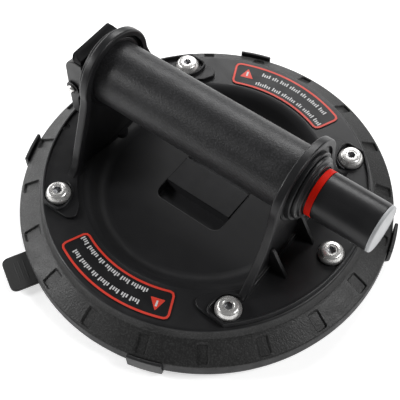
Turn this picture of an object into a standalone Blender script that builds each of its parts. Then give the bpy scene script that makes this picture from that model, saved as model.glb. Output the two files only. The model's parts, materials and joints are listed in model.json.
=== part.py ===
"""Hand-pump vacuum suction cup: a pad housing under a pump handle, with a release lever and a pad cover.

Frame: metres in Blender, millimetres in the constants below. The origin is on the disc's axis at the
underside of the protective cover, +Z is up, and +X runs along the handle towards the pump plunger.
"""

import math

import bmesh
import bpy
from mathutils import Matrix, Vector

MM = 0.001
GAP = 0.3  # clearance between neighbouring pieces

# Housing, pad, backing plate and cover, from the disc's axis outwards
DISC_STEPS = 48
HOUSING_R = 105.0
RIM_BOTTOM_Z = 5.2
RIM_TOP_Z = 12.2
RIDGE_R = 92.3
RIDGE_Z = 19.0
LAND_R = 90.2
LAND_Z = 25.0
BOWL_TOP_R = 67.0
BOWL_FLOOR_R = 57.0
BOWL_FLOOR_Z = 17.5
BOWL_SKIN = 3.1
PLATE_R = 98.0
PLATE_Z = (7.5, 9.5)
PAD_Z = (4.3, 7.2)
PAD_LIP_R = 103.0
PAD_LIP_Z = (2.6, 4.9)
COVER_R = 103.5
COVER_THICK = 2.2

# Grip slots round the band
SLOT_COUNT = 20
SLOT_R = (94.0, 103.0)
SLOT_WIDTH = 6.0
SLOT_DEPTH = 1.4

# Pockets either side of the bar in the bowl's floor
POCKET_X = (-20.5, 22.5)
POCKET_Y = (9.5, 20.5)
POCKET_FLOOR_Z = 11.4
POCKET_CORNER_R = 5.5

# Release tab of the pad and snap clips of the cover
TAB_ANGLE = -118.5
TAB_REACH_R = 119.5
TAB_WIDTH = 21.5
CLIP_ANGLES = (20.0, 110.0, 200.0, 290.0)
CLIP_HALF_ANGLE = 5.0
CLIP_R = (105.5, 107.4)
CLIP_TOP_Z = 14.4

# Bolts that hold the brackets, housing and backing plate together
BOLT_CIRCLE_R = 80.8
BOLT_ANGLES = (0.0, 45.0, 135.0, 180.0, 225.0, 315.0)
BOLT_SHANK_R = 3.0
BOLT_HEAD_R = 7.0
BOLT_HEAD_Z = (27.6, 32.2)
STANDOFF_R = 5.0
STANDOFF_TOP_Z = 19.0

# Handle brackets: an arch on a crescent foot
AXIS_Z = 73.7  # height of the handle's axis
FRONT_X = (56.5, 61.0)
REAR_X = (-57.5, -62.5)
ARCH_HEADS = {1: (26.0, 22.7), -1: (24.7, 24.7)}  # half width at the axis and height over it, front and rear
ARCH_RIM = 3.6
RECESS_BOTTOM_Z = 31.5
RECESS_DEPTHS = {1: (1.0, 1.4), -1: (2.5, 0.6)}  # inner and outer face, front and rear
FOOT_R = 89.3
FOOT_INNER_R = 70.5
FOOT_Y = 65.6
FOOT_Z = (25.3, 27.3)
FOOT_LIP = 1.2
FOOT_LIP_Z = 29.5
RIB_Y = (-25.0, 0.0, 25.0)
RIB_THICK = 2.0
RIB_TOP_Z = 46.0
RIB_REACH = 9.5

# Side of each arch as (y, z): the ends and handles of a curve, then points down to the foot
FRONT_SIDE = (((-26.0, AXIS_Z), (-49.5, FOOT_Z[1])), ((-27.5, 60.0), (-36.0, 40.0)), [])
REAR_FLARE = [(-40.6, 31.6), (-42.4, 29.2), (-44.6, FOOT_Z[1])]
REAR_SIDE = (((-24.7, AXIS_Z), (-39.1, 35.0)), ((-26.4, 65.0), (-36.6, 43.5)), REAR_FLARE)

# Handle tube and pump, as radii round the handle's axis and stations along X
GRIP_R = (15.7, 17.5)
GRIP_X = (-60.2, 57.2)
BARREL_R = (13.6, 15.3)
BARREL_X = (-60.1, 60.4)
PLUNGER_R = (10.5, 12.5)
PLUNGER_X = (24.3, 100.7)
PLUNGER_END_X = 102.8
PLUNGER_ORIGIN = (PLUNGER_END_X, 0.0, AXIS_Z)
RING_X = (67.3, 70.7)
GUIDE_BORE_R = 12.9
PISTON_X = (14.0, 24.0)
PLUG_X = (-58.5, -50.0)
CHECK_STALK_R = 1.1
VALVE_OFFSET = 9.5  # check valves sit this far below and above the handle's axis
AIRWAY_X = -62.5
AIRWAY_R = 1.5

# Release lever and its valve behind the rear bracket
PIVOT_X = -77.0
PIVOT_Z = 63.0
CHEEK_Y = (12.9, 15.2)
EAR_Y = (8.0, 12.5)
VALVE_Z = 46.0
THUMB_Z = (84.8, 91.0)
THUMB_HALF_Y = (14.8, 11.3)  # at its base and its top
POST_X = -75.5
POST_HALF_Y = 7.0
REAR_BOSS = (22.0, (-65.2, -61.0))  # radius and stations of the round boss behind the rear arch
CHAMBER_R = 4.8
CHAMBER_X = -65.0

# Warning labels on the land
LABEL_R = (70.5, 87.3)
LABEL_HALF_ANGLE = 25.0
LABEL_THICK = 0.35


# ---------------------------------------------------------------------------------------------
# Scene and material helpers
# ---------------------------------------------------------------------------------------------

def clear_scene():
    for found in list(bpy.data.objects):
        bpy.data.objects.remove(found, do_unlink=True)


def material(name, colour, roughness, metallic=0.0):
    """A Principled material of one colour, made once for each node."""
    made = bpy.data.materials.new(name)
    made.use_nodes = True
    shader = made.node_tree.nodes["Principled BSDF"]
    shader.inputs["Base Color"].default_value = (*colour, 1.0)
    shader.inputs["Roughness"].default_value = roughness
    shader.inputs["Metallic"].default_value = metallic
    return made


FINISHES = {
    "textured_black": ((0.055, 0.055, 0.058), 0.75, 0.0),
    "satin_black": ((0.032, 0.032, 0.034), 0.5, 0.0),
    "rubber": ((0.03, 0.03, 0.03), 0.85, 0.0),
    "stainless": ((0.7, 0.7, 0.7), 0.25, 1.0),
    "steel": ((0.45, 0.45, 0.46), 0.4, 1.0),
    "aluminium": ((0.6, 0.6, 0.62), 0.35, 1.0),
    "pale_disc": ((0.55, 0.56, 0.57), 0.35, 0.0),
    "signal_red": ((0.58, 0.02, 0.012), 0.5, 0.0),
    "label": ((0.02, 0.02, 0.02), 0.45, 0.0),
    "nylon": ((0.25, 0.25, 0.25), 0.6, 0.0),
    "filter_foam": ((0.12, 0.12, 0.12), 0.95, 0.0),
}


def finish_node(obj, finish, smooth=True, origin=None):
    """Give a node its own material and shading, and if it moves an origin on its joint's axis."""
    if origin:
        obj.data.transform(Matrix.Translation(Vector(origin) * -MM))
        obj.location = Vector(origin) * MM
    colour, roughness, metallic = FINISHES[finish]
    obj.data.materials.clear()
    obj.data.materials.append(material(obj.name, colour, roughness, metallic))
    if smooth:
        obj.data.shade_smooth()
        obj.data.set_sharp_from_angle(angle=math.radians(32))
    return obj


# ---------------------------------------------------------------------------------------------
# Shape helpers: every point is in millimetres in the part's own frame
# ---------------------------------------------------------------------------------------------

def solid(name, points, faces):
    mesh = bpy.data.meshes.new(name)
    mesh.from_pydata([Vector(p) * MM for p in points], [], faces)
    mesh.validate()
    shape = bmesh.new()
    shape.from_mesh(mesh)
    bmesh.ops.recalc_face_normals(shape, faces=shape.faces)
    shape.to_mesh(mesh)
    shape.free()
    obj = bpy.data.objects.new(name, mesh)
    bpy.context.scene.collection.objects.link(obj)
    return obj


def turned(name, profile, steps, frame=Matrix()):
    """Turn a closed outline of (radius, height) points round Z, then place it by frame (in mm)."""
    points, rings = [], []
    for radius, height in profile:
        count = 1 if radius == 0 else steps
        rings.append([len(points) + i for i in range(count)])
        for i in range(count):
            angle = 2 * math.pi * i / steps
            points.append(frame @ Vector((radius * math.cos(angle), radius * math.sin(angle), height)))
    faces = []
    for one, two in zip(rings, rings[1:] + rings[:1]):
        if len(one) == 1 and len(two) == 1:
            continue
        for i in range(steps):
            j = (i + 1) % steps
            corners = [one[i % len(one)], one[j % len(one)], two[j % len(two)], two[i % len(two)]]
            faces.append(list(dict.fromkeys(corners)))
    return solid(name, points, faces)


def swept(name, profile, start, end, steps):
    """Sweep a closed outline of (radius, height) points round Z from start to end degrees."""
    points = []
    for i in range(steps + 1):
        turn = start + (end - start) * i / steps
        points += [(*polar(radius, turn), height) for radius, height in profile]
    count = len(profile)
    faces = [list(range(count)), [steps * count + k for k in reversed(range(count))]]
    for i in range(steps):
        for k in range(count):
            m = (k + 1) % count
            faces.append([i * count + k, (i + 1) * count + k, (i + 1) * count + m, i * count + m])
    return solid(name, points, faces)


def along_x(z=AXIS_Z):
    """Frame whose height runs along +X, over the disc's axis at height z."""
    return Matrix.Translation((0, 0, z)) @ Matrix.Rotation(math.pi / 2, 4, "Y")


def along_y(x, z):
    """Frame whose height runs along +Y from the point x, 0, z."""
    return Matrix.Translation((x, 0, z)) @ Matrix.Rotation(-math.pi / 2, 4, "X")


def upright(x, y):
    """Frame whose height runs along +Z from the point x, y, 0."""
    return Matrix.Translation((x, y, 0))


def pipe(name, radii, heights, steps, frame=Matrix()):
    (r0, r1), (h0, h1) = radii, heights
    return turned(name, [(r1, h0), (r1, h1), (r0, h1), (r0, h0)], steps, frame)


def rod(name, radius, heights, steps, frame=Matrix()):
    return pipe(name, (0, radius), heights, steps, frame)


def prism(name, outline, low, high, axis="Z"):
    """Extrude a closed outline. Its points are (x, y) for Z, (y, z) for X and (x, z) for Y."""
    place = {
        "Z": lambda a, b, h: (a, b, h),
        "X": lambda a, b, h: (h, a, b),
        "Y": lambda a, b, h: (a, h, b),
    }[axis]
    count = len(outline)
    points = [place(a, b, low) for a, b in outline] + [place(a, b, high) for a, b in outline]
    faces = [list(range(count)), list(range(2 * count - 1, count - 1, -1))]
    faces += [[i, count + i, count + (i + 1) % count, (i + 1) % count] for i in range(count)]
    return solid(name, points, faces)


def box(name, low, high):
    (x0, y0, z0), (x1, y1, z1) = low, high
    return prism(name, [(x0, y0), (x1, y0), (x1, y1), (x0, y1)], z0, z1)


def is_closed(mesh):
    shape = bmesh.new()
    shape.from_mesh(mesh)
    closed = bool(shape.faces) and all(len(edge.link_faces) == 2 for edge in shape.edges)
    shape.free()
    return closed


def combine(target, tools, operation):
    """Join or cut target with each tool, and take the tools away."""
    for tool in tools:
        modifier = target.modifiers.new("join", "BOOLEAN")
        modifier.operation = operation
        modifier.object = tool
        for solver in ("EXACT", "MANIFOLD"):  # the second only where the first leaves a hole
            modifier.solver = solver
            graph = bpy.context.evaluated_depsgraph_get()
            graph.update()
            mesh = bpy.data.meshes.new_from_object(target.evaluated_get(graph))
            if is_closed(mesh):
                break
        target.modifiers.clear()
        target.data = mesh
        mesh.name = target.name
        bpy.data.objects.remove(tool, do_unlink=True)
    return target


def join(target, *tools):
    return combine(target, tools, "UNION")


def cut(target, *tools):
    return combine(target, tools, "DIFFERENCE")


def polar(radius, degrees):
    angle = math.radians(degrees)
    return radius * math.cos(angle), radius * math.sin(angle)


def arc(centre, radius, start, end, steps):
    """Points of an arc from start to end degrees, both ends included."""
    turns = [start + (end - start) * i / steps for i in range(steps + 1)]
    return [(centre[0] + polar(radius, a)[0], centre[1] + polar(radius, a)[1]) for a in turns]


def sector(radii, start, end, steps):
    """Outline of a ring sector about the disc's axis."""
    return arc((0, 0), radii[1], start, end, steps) + arc((0, 0), radii[0], end, start, steps)


def rounded_box_outline(x, y, corners, steps=4):
    """Rectangle outline; corners are the radii at (low low), (high low), (high high), (low high)."""
    (x0, x1), (y0, y1) = x, y
    places = (
        (x0, y0, 1, 1, 180),
        (x1, y0, -1, 1, 270),
        (x1, y1, -1, -1, 0),
        (x0, y1, 1, -1, 90),
    )
    outline = []
    for (cx, cy, sx, sy, start), radius in zip(places, corners):
        if radius == 0:
            outline.append((cx, cy))
        else:
            outline += arc((cx + sx * radius, cy + sy * radius), radius, start, start + 90, steps)
    return outline


def turned_about_z(outline, degrees):
    c, s = polar(1.0, degrees)
    return [(x * c - y * s, x * s + y * c) for x, y in outline]


def inset(outline, distance):
    """Move each point of a counter-clockwise outline inwards along its corner's normal."""
    moved = []
    count = len(outline)
    for i, point in enumerate(outline):
        before = Vector(outline[i - 1])
        after = Vector(outline[(i + 1) % count])
        here = Vector(point)
        first = (here - before).normalized()
        second = (after - here).normalized()
        normal = Vector((-(first.y + second.y), first.x + second.x)).normalized()
        reach = distance / max(0.5, Vector((-first.y, first.x)).dot(normal))
        moved.append(tuple(here + normal * reach))
    return moved


def strip(path, width):
    """Outline of a strip of this width along the left of an open path."""
    moved = []
    for i, point in enumerate(path):
        before = Vector(path[max(i - 1, 0)])
        after = Vector(path[min(i + 1, len(path) - 1)])
        along = (after - before).normalized()
        moved.append((point[0] - along.y * width, point[1] + along.x * width))
    return list(path) + moved[::-1]


def helix(name, radius, wire, low, high, turns, frame, sides=6, steps_per_turn=12):
    """A round wire wound along the frame's height, with flat ends."""
    count = int(turns * steps_per_turn)
    points = []
    for i in range(count + 1):
        angle = 2 * math.pi * i / steps_per_turn
        rise = low + wire + (high - low - 2 * wire) * i / count
        for k in range(sides):
            across = 2 * math.pi * k / sides
            reach = radius + wire * math.cos(across)
            spot = (reach * math.cos(angle), reach * math.sin(angle), rise + wire * math.sin(across))
            points.append(frame @ Vector(spot))
    faces = [list(range(sides)), [count * sides + k for k in reversed(range(sides))]]
    for i in range(count):
        for k in range(sides):
            m = (k + 1) % sides
            faces.append([i * sides + k, (i + 1) * sides + k, (i + 1) * sides + m, i * sides + m])
    return solid(name, points, faces)


def ring_seal(name, radii, heights, steps, frame=Matrix()):
    """A seal ring with its four edges chamfered."""
    (r0, r1), (h0, h1) = radii, heights
    edge = 0.3 * (h1 - h0)
    side = 0.3 * (r1 - r0)
    profile = [
        (r1, h0 + edge), (r1, h1 - edge), (r1 - side, h1), (r0 + side, h1),
        (r0, h1 - edge), (r0, h0 + edge), (r0 + side, h0), (r1 - side, h0),
    ]
    return turned(name, profile, steps, frame)


# ---------------------------------------------------------------------------------------------
# Housing, pad and cover
# ---------------------------------------------------------------------------------------------

def bolt_places():
    return [polar(BOLT_CIRCLE_R, angle) for angle in BOLT_ANGLES]


def housing_shell():
    skin_z = BOWL_FLOOR_Z - BOWL_SKIN
    shelf_z = PLATE_Z[1] + GAP
    outer = [
        (0, BOWL_FLOOR_Z), (BOWL_FLOOR_R, BOWL_FLOOR_Z), (59.5, 18.5), (64.3, 23.3),
        (BOWL_TOP_R, 24.7), (70.0, LAND_Z), (LAND_R - 1.4, LAND_Z), (LAND_R, 24.2),
        (RIDGE_R - 0.9, RIDGE_Z + 1.2), (RIDGE_R + 0.4, RIDGE_Z), (HOUSING_R - 0.8, RIM_TOP_Z + 0.5),
        (HOUSING_R, RIM_TOP_Z - 0.4), (HOUSING_R, RIM_BOTTOM_Z),
    ]
    inner = [
        (PLATE_R + 0.4, RIM_BOTTOM_Z), (PLATE_R + 0.4, shelf_z), (93.0, shelf_z), (89.5, 15.8),
        (87.5, LAND_Z - 3.2), (69.0, LAND_Z - 3.2), (62.0, 17.6), (BOWL_FLOOR_R, skin_z), (0, skin_z),
    ]
    return turned("base_housing", outer + inner, DISC_STEPS)


def slot_cutter(turn):
    """Cutter for one grip slot, whose floor runs parallel to the sloping band."""
    half = SLOT_WIDTH / 2
    outline = [(SLOT_R[0], -half), (SLOT_R[1], -half), (SLOT_R[1], half), (SLOT_R[0], half)]
    slot = prism("slot", turned_about_z(outline, turn), 0, 30)
    slope = (RIDGE_Z - RIM_TOP_Z) / (HOUSING_R - RIDGE_R)
    for vertex in slot.data.vertices:
        if vertex.co.z < RIM_BOTTOM_Z * MM:
            radius = vertex.co.xy.length / MM
            vertex.co.z = (RIDGE_Z - slope * (radius - RIDGE_R) - SLOT_DEPTH) * MM
    return slot


def base_housing():
    shell = housing_shell()
    shelf_z = PLATE_Z[1] + GAP
    for near, far in ((-76.0, -60.0), (57.0, 76.0)):
        join(shell, box("foot_seat", (near, -42.0, 19.0), (far, 42.0, LAND_Z)))
    pocket_block = rounded_box_outline((-23.0, 25.0), (-23.0, 23.0), (7, 7, 7, 7))
    join(shell, prism("pocket_block", pocket_block, shelf_z, BOWL_FLOOR_Z - 1.0))
    for x, y in bolt_places():
        spot = upright(x, y)
        join(shell, rod("boss", 7.3, (shelf_z, LAND_Z - 2.0), 12, spot))
    join(shell, rod("airway_boss", 4.5, (shelf_z, 22.0), 10, upright(AIRWAY_X, 0)))
    for x, y in bolt_places():
        spot = upright(x, y)
        cut(shell, rod("socket", STANDOFF_R + GAP, (0, STANDOFF_TOP_Z + GAP), 12, spot))
        cut(shell, rod("hole", BOLT_SHANK_R + 0.4, (0, 40), 12, spot))
    cut(shell, rod("airway", AIRWAY_R, (0, 40), 8, upright(AIRWAY_X, 0)))
    radius = POCKET_CORNER_R
    low_pocket = rounded_box_outline(POCKET_X, (-POCKET_Y[1], -POCKET_Y[0]), (radius, radius, 0, 0))
    high_pocket = rounded_box_outline(POCKET_X, POCKET_Y, (0, 0, radius, radius))
    cut(shell, prism("pocket", low_pocket, POCKET_FLOOR_Z, 30))
    cut(shell, prism("pocket", high_pocket, POCKET_FLOOR_Z, 30))
    for i in range(SLOT_COUNT):
        cut(shell, slot_cutter(360.0 * i / SLOT_COUNT))
    finish_node(shell, "textured_black")


def backing_plate():
    plate = rod("backing_plate", PLATE_R, PLATE_Z, DISC_STEPS)
    cut(plate, rod("airway", AIRWAY_R, (0, 20), 12, upright(AIRWAY_X, 0)))
    finish_node(plate, "steel")


def rubber_pad():
    low, high = PAD_LIP_Z
    profile = [
        (0, PAD_Z[0]), (89.0, PAD_Z[0]), (93.0, 3.2), (96.0, low), (PAD_LIP_R - 1.2, low),
        (PAD_LIP_R, low + 0.7), (PAD_LIP_R, high - 0.6), (PAD_LIP_R - 0.8, high),
        (PLATE_R, high), (PLATE_R, PAD_Z[1]), (0, PAD_Z[1]),
    ]
    pad = turned("rubber_pad", profile, DISC_STEPS)
    half = TAB_WIDTH / 2
    tab = rounded_box_outline((97.0, TAB_REACH_R), (-half, half), (0, 4.5, 4.5, 0))
    join(pad, prism("tab", turned_about_z(tab, TAB_ANGLE), low + 0.45, high - 0.1))
    spot = upright(AIRWAY_X, 0)
    cut(pad, rod("filter_seat", 5.3, (0, PAD_Z[0] + 1.7), 20, spot))
    cut(pad, rod("airway", AIRWAY_R, (0, 20), 12, spot))
    finish_node(pad, "rubber")


def pad_filter():
    spot = upright(AIRWAY_X, 0)
    finish_node(rod("pad_filter", 5.0, (PAD_Z[0] + 0.1, PAD_Z[0] + 1.4), 20, spot), "filter_foam")


def protective_cover():
    floor = COVER_THICK - 0.6
    profile = [
        (0, 0), (COVER_R - 0.6, 0), (COVER_R, 0.6), (COVER_R, COVER_THICK),
        (100.0, COVER_THICK), (99.0, floor), (0, floor),
    ]
    cover = turned("protective_cover", profile, DISC_STEPS)
    inner, outer = CLIP_R
    clip = [
        (101.0, 0.3), (103.8, 0.3), (outer, 4.0), (outer, CLIP_TOP_Z - 0.5), (outer - 0.5, CLIP_TOP_Z),
        (inner, CLIP_TOP_Z), (inner, 5.0), (103.4, COVER_THICK - 0.3), (101.0, COVER_THICK - 0.3),
    ]
    for angle in CLIP_ANGLES:
        join(cover, swept("clip", clip, angle - CLIP_HALF_ANGLE, angle + CLIP_HALF_ANGLE, 3))
    finish_node(cover, "satin_black")


# ---------------------------------------------------------------------------------------------
# Bolts and the standoffs they screw into
# ---------------------------------------------------------------------------------------------

def housing_bolts():
    low, high = BOLT_HEAD_Z
    profile = [
        (0, 10.2), (BOLT_SHANK_R - 0.6, 10.2), (BOLT_SHANK_R, 10.9), (BOLT_SHANK_R, low),
        (BOLT_HEAD_R, low), (BOLT_HEAD_R, low + 1.4), (BOLT_HEAD_R - 1.9, high - 0.2),
        (BOLT_HEAD_R - 2.3, high), (0, high),
    ]
    for number, (x, y) in enumerate(bolt_places(), 1):
        spot = upright(x, y)
        bolt = turned(f"housing_bolt_{number}", profile, 16, spot)
        key = [polar(2.3, 60 * k) for k in range(6)]
        key = [(x + a, y + b) for a, b in key]
        cut(bolt, prism("key", key, high - 2.6, high + 1))
        finish_node(bolt, "stainless")


def plate_standoffs():
    heights = (PLATE_Z[1] + GAP, STANDOFF_TOP_Z)
    for number, (x, y) in enumerate(bolt_places(), 1):
        spot = upright(x, y)
        radii = (BOLT_SHANK_R + GAP, STANDOFF_R)
        finish_node(pipe(f"plate_standoff_{number}", radii, heights, 12, spot), "steel")


# ---------------------------------------------------------------------------------------------
# Handle brackets
# ---------------------------------------------------------------------------------------------

def bezier(ends, handles, steps):
    """Points of a cubic curve, without its first point."""
    (a, d), (b, c) = ends, handles
    points = []
    for i in range(1, steps + 1):
        t = i / steps
        k = ((1 - t) ** 3, 3 * t * (1 - t) ** 2, 3 * t * t * (1 - t), t ** 3)
        points.append(tuple(k[0] * a[n] + k[1] * b[n] + k[2] * c[n] + k[3] * d[n] for n in range(2)))
    return points


def arch_outline(side, bottom_z):
    """Bell outline of an arch, counter-clockwise in Y and Z: an egg-shaped head on flaring sides."""
    head = []
    wide, tall = ARCH_HEADS[side]
    for i in range(17):
        angle = math.pi * i / 16
        reach = tall + (wide - tall) * math.cos(angle) ** 2
        head.append((reach * math.cos(angle), AXIS_Z + reach * math.sin(angle)))
    ends, handles, flare = FRONT_SIDE if side > 0 else REAR_SIDE
    left = bezier(ends, handles, 9) + flare
    if bottom_z < FOOT_Z[1]:
        left.append((left[-1][0], bottom_z))
    right = [(-y, z) for y, z in reversed(left)]
    return head + left + right


def both_ends(tip):
    """A path round the crescent's outer edge that ends in this tip at both sides."""
    corner = math.degrees(math.asin(FOOT_Y / FOOT_R))
    return [(x, -y) for x, y in reversed(tip)] + arc((0, 0), FOOT_R, -corner, corner, 18) + tip


def foot_outline(side):
    """Crescent foot in X and Y, from the arch's inner plane to the edge of the land."""
    plane = abs(FRONT_X[0] if side > 0 else REAR_X[0])
    meet = math.degrees(math.acos(plane / FOOT_INNER_R))
    ear = math.degrees(math.acos(43.5 / FOOT_INNER_R))
    tip = [(47.0, FOOT_Y), (44.4, FOOT_Y), (41.6, FOOT_Y - 1.2), (40.6, FOOT_Y - 3.6)]
    tip += arc((0, 0), FOOT_INNER_R, ear, meet, 4)
    return [(side * x, y) for x, y in both_ends(tip)][::side]


def foot_lip(side):
    """Raised wall along the crescent's outer edge that turns in round its two outer bolts."""
    tip = [(49.6, FOOT_Y), (48.1, 63.6), (48.5, 57.0), (50.6, 51.2), (54.0, 48.6), (58.2, 48.0)]
    path = both_ends(tip)
    outline = [(side * x, y) for x, y in strip(path, FOOT_LIP)][::side]
    return prism("lip", outline, FOOT_Z[1] - 0.5, FOOT_LIP_Z)


def bracket(name, planes, side, rib_places):
    """Arch with a rim, on a crescent foot with a lip, ribs on its outer face and bolt holes."""
    inner_x, outer_x = planes
    inner_depth, outer_depth = RECESS_DEPTHS[side]
    body = prism(name, arch_outline(side, FOOT_Z[0] + 0.5), min(planes), max(planes), "X")
    join(body, prism("foot", foot_outline(side), *FOOT_Z))
    rim_line = inset(arch_outline(side, FOOT_Z[1]), ARCH_RIM)
    recess = [point for point in rim_line if point[1] > RECESS_BOTTOM_Z]
    reach = min(40.0, max(y for y, z in recess))
    low = RECESS_BOTTOM_Z - 2.0
    start = next(i for i, point in enumerate(rim_line) if point[1] <= RECESS_BOTTOM_Z)
    slot = [(-reach, low), (-reach, 18.0), (reach, 18.0), (reach, low)]
    through_foot = recess[:start] + slot + recess[start:]
    inner_cut = sorted((inner_x + side * inner_depth, inner_x - side))
    outer_cut = sorted((outer_x - side * outer_depth, outer_x + side))
    cut(body, prism("recess", through_foot, *inner_cut, "X"), prism("recess", recess, *outer_cut, "X"))
    join(body, foot_lip(side))
    web_x = outer_x - side * 2.0
    for y in rib_places:
        tip_x = outer_x + side * RIB_REACH
        low = FOOT_Z[1] - 0.5
        outline = [(web_x, low), (tip_x, low), (outer_x, RIB_TOP_Z), (web_x, RIB_TOP_Z)]
        join(body, prism("rib", outline, y - RIB_THICK / 2, y + RIB_THICK / 2, "Y"))
    for x, y in bolt_places():
        if x * side > 0:
            spot = upright(x, y)
            cut(body, rod("hole", BOLT_SHANK_R + 0.4, (20, 40), 12, spot))
    return body


def front_bracket():
    body = bracket("front_bracket", FRONT_X, 1, RIB_Y)
    seat = rod("seat", 20.4, (FRONT_X[0], FRONT_X[1] - 1.0), 32, along_x())
    collar = rod("collar", 18.6, (FRONT_X[1] - 2.0, 63.0), 32, along_x())
    join(body, seat, collar)
    tube_seat = rod("tube_seat", GRIP_R[1] + GAP, (40.0, GRIP_X[1] + GAP), 32, along_x())
    cut(body, tube_seat, rod("bore", BARREL_R[1] + GAP, (50.0, 80.0), 32, along_x()))
    finish_node(body, "satin_black")


def rear_bracket():
    body = bracket("rear_bracket", REAR_X, -1, (RIB_Y[0], RIB_Y[2]))
    seat = rod("seat", 19.8, (-61.5, -59.3), 32, along_x())
    boss = rod("boss", *REAR_BOSS, 32, along_x())
    post = [(-60.4, FOOT_Z[0]), (-73.2, FOOT_Z[0]), (-73.2, 35.0), (POST_X, 38.5), (POST_X, 52.0)]
    post += [(-68.0, 60.0), (-60.4, 66.0)]
    join(body, seat, boss, prism("post", post, -POST_HALF_Y, POST_HALF_Y, "Y"))
    for side in (-1, 1):
        low, high = sorted((side * EAR_Y[0], side * EAR_Y[1]))
        ear = [(-61.2, 55.0)] + arc((PIVOT_X, PIVOT_Z), 4.5, 270, 90, 8) + [(-61.2, 72.0)]
        join(body, prism("ear", ear, low, high, "Y"))
    cut(body, rod("tube_seat", GRIP_R[1] + GAP, (GRIP_X[0] - GAP, -40.0), 32, along_x()))
    cut(body, rod("pin_hole", 2.2, (-20.0, 20.0), 16, along_y(PIVOT_X, PIVOT_Z)))
    inlet_z = AXIS_Z - VALVE_OFFSET
    cut(body, rod("airway", AIRWAY_R, (20.0, inlet_z + AIRWAY_R), 12, upright(AIRWAY_X, 0)))
    cut(body, rod("inlet", AIRWAY_R, (AIRWAY_X, -50.0), 12, along_x(z=inlet_z)))
    cut(body, rod("exhaust", AIRWAY_R, (-80.0, -50.0), 12, along_x(z=AXIS_Z + VALVE_OFFSET)))
    cut(body, rod("chamber", CHAMBER_R, (-90.0, CHAMBER_X), 20, along_x(z=VALVE_Z)))
    cut(body, rod("vent", 1.2, (-70.0, AIRWAY_X), 12, along_x(z=VALVE_Z)))
    finish_node(body, "satin_black")


# ---------------------------------------------------------------------------------------------
# Pump in the handle
# ---------------------------------------------------------------------------------------------

def grip_tube():
    finish_node(pipe("grip_tube", GRIP_R, GRIP_X, 36, along_x()), "textured_black")


def pump_barrel():
    finish_node(pipe("pump_barrel", BARREL_R, BARREL_X, 28, along_x()), "aluminium")


def plunger_guide():
    bore, spigot = GUIDE_BORE_R, BARREL_R[1]
    profile = [
        (spigot, 60.8), (spigot, 63.3), (16.9, 63.3), (16.9, 64.6), (16.2, 65.2),
        (14.9, 65.2), (14.9, 66.2), (14.5, 66.6), (bore, 66.6), (bore, 60.8),
    ]
    finish_node(turned("plunger_guide", profile, 28, along_x()), "satin_black")


def rear_plug():
    low, high = PLUG_X
    radius = BARREL_R[0] - GAP
    groove = radius - 1.6
    profile = [
        (0, low), (radius, low), (radius, -54.8), (groove, -54.8),
        (groove, -52.2), (radius, -52.2), (radius, high), (0, high),
    ]
    plug = turned("rear_plug", profile, 20, along_x())
    inlet_z = AXIS_Z - VALVE_OFFSET
    join(plug, rod("snout", 2.6, (-60.2, low + 1.0), 14, along_x(z=inlet_z)))
    cut(plug, rod("inlet", AIRWAY_R + 0.1, (-70.0, -40.0), 12, along_x(z=inlet_z)))
    cut(plug, rod("exhaust", AIRWAY_R + 0.1, (-70.0, -40.0), 12, along_x(z=AXIS_Z + VALVE_OFFSET)))
    finish_node(plug, "nylon")


def plug_seal():
    finish_node(ring_seal("plug_seal", (12.0, 13.35), (-54.5, -52.5), 20, along_x()), "rubber")


def check_valves():
    """Rubber mushroom valves: one lets pad air into the pump, the other lets pump air out."""
    low, high = PLUG_X
    stalk = CHECK_STALK_R
    inlet = [
        (0, low + 2), (stalk, low + 2), (stalk, high + GAP),
        (3.3, high + GAP), (3.7, high + 1.2), (0, high + 1.6),
    ]
    inlet_frame = along_x(z=AXIS_Z - VALVE_OFFSET)
    finish_node(turned("inlet_check_valve", inlet, 16, inlet_frame), "rubber")
    outlet = [
        (0, low - 1.4), (3.5, low - 1.1), (3.2, low - GAP),
        (stalk, low - GAP), (stalk, high - 2), (0, high - 2),
    ]
    outlet_frame = along_x(z=AXIS_Z + VALVE_OFFSET)
    finish_node(turned("exhaust_check_valve", outlet, 16, outlet_frame), "rubber")


def plunger_tube():
    bore, outer = PLUNGER_R
    low, high = PLUNGER_X
    groove = outer - 0.6
    ring_low, ring_high = RING_X[0] - GAP, RING_X[1] + GAP
    profile = [
        (outer, low), (outer, ring_low), (groove, ring_low), (groove, ring_high),
        (outer, ring_high), (outer, high), (bore, high), (bore, low),
    ]
    finish_node(turned("plunger_tube", profile, 28, along_x()), "satin_black", origin=PLUNGER_ORIGIN)


def indicator_ring():
    radii = (PLUNGER_R[1] - 0.3, PLUNGER_R[1] + 0.05)
    ring = pipe("indicator_ring", radii, RING_X, 28, along_x())
    finish_node(ring, "signal_red", origin=PLUNGER_ORIGIN)


def plunger_end_cap():
    face = PLUNGER_X[1] + GAP
    spigot = PLUNGER_R[0] - GAP
    profile = [
        (0, face - 4), (spigot, face - 4), (spigot, face), (PLUNGER_R[1], face),
        (PLUNGER_R[1], PLUNGER_END_X - 0.6), (PLUNGER_R[1] - 0.6, PLUNGER_END_X), (0, PLUNGER_END_X),
    ]
    finish_node(turned("plunger_end_cap", profile, 28, along_x()), "pale_disc", origin=PLUNGER_ORIGIN)


def piston():
    low, high = PISTON_X
    radius = BARREL_R[0] - 0.4
    groove = radius - 1.7
    profile = [
        (0, low + 3), (7.5, low + 3), (7.5, low), (radius, low), (radius, 17.2), (groove, 17.2),
        (groove, 20.8), (radius, 20.8), (radius, high), (PLUNGER_R[0] - GAP, high),
        (PLUNGER_R[0] - GAP, high + 7), (0, high + 7),
    ]
    finish_node(turned("piston", profile, 20, along_x()), "nylon", origin=PLUNGER_ORIGIN)


def piston_seal():
    seal = ring_seal("piston_seal", (11.8, 13.4), (17.5, 20.5), 20, along_x())
    finish_node(seal, "rubber", origin=PLUNGER_ORIGIN)


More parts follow.
